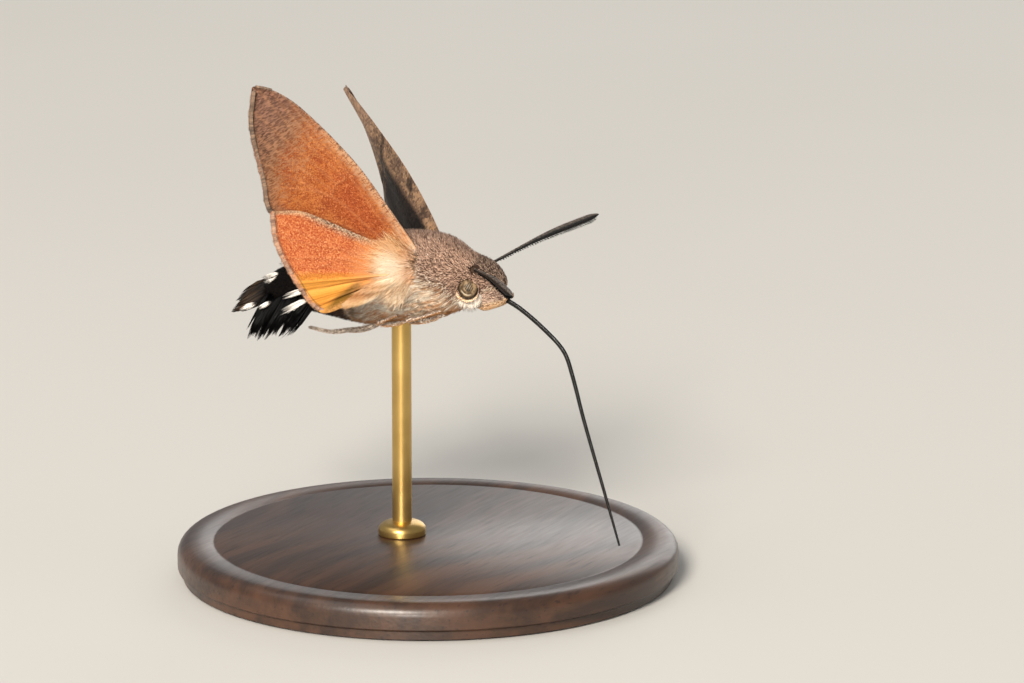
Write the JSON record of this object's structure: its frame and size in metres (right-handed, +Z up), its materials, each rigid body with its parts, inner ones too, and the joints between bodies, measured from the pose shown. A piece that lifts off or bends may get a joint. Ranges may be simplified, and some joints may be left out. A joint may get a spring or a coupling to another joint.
{
  "type": "hummingbird hawk moth model",
  "caption": "Life-size hovering hummingbird hawk moth with raised wings and extended proboscis, held over a round display base by a slim rod.",
  "frame": {"origin": "centre of the display base's underside", "axes": "+X is the way the moth faces, +Y its left side, +Z up"},
  "size_m": [0.046, 0.046, 0.0468],
  "materials": {
    "dorsal_fur": "short grey-brown body fur",
    "pale_fur": "cream to tan hair of the belly and flanks",
    "black_fur": "black scale tufts with white marks",
    "eye_shell": "smooth faceted olive-brown eye",
    "horn": "black-brown chitin",
    "forewing_scales": "matt powdery scales, grey-brown above and rust below",
    "hindwing_scales": "matt powdery orange scales",
    "leg_scales": "pale grey-brown scales",
    "stand_wood": "dark satin wood",
    "stand_brass": "satin brass"
  },
  "bodies": {
    "root": {"abdomen_base": "pale_fur", "abdomen_middle": "black_fur", "abdomen_rear": "black_fur", "antenna_left": "horn", "antenna_right": "horn", "eye_left": "eye_shell", "eye_right": "eye_shell", "fore_leg_left": "leg_scales", "fore_leg_right": "leg_scales", "forewing_left": "forewing_scales", "forewing_right": "forewing_scales", "head": "dorsal_fur", "hind_leg_left": "leg_scales", "hind_leg_right": "leg_scales", "hindwing_left": "hindwing_scales", "hindwing_right": "hindwing_scales", "mid_leg_left": "leg_scales", "mid_leg_right": "leg_scales", "palp_left": "dorsal_fur", "palp_right": "dorsal_fur", "proboscis": "horn", "side_tuft_left_1": "black_fur", "side_tuft_left_2": "black_fur", "side_tuft_left_3": "black_fur", "side_tuft_right_1": "black_fur", "side_tuft_right_2": "black_fur", "side_tuft_right_3": "black_fur", "stand_base": "stand_wood", "stand_rod": "stand_brass", "tail_fan": "black_fur", "thorax": "dorsal_fur"}
  },
  "joints": []
}
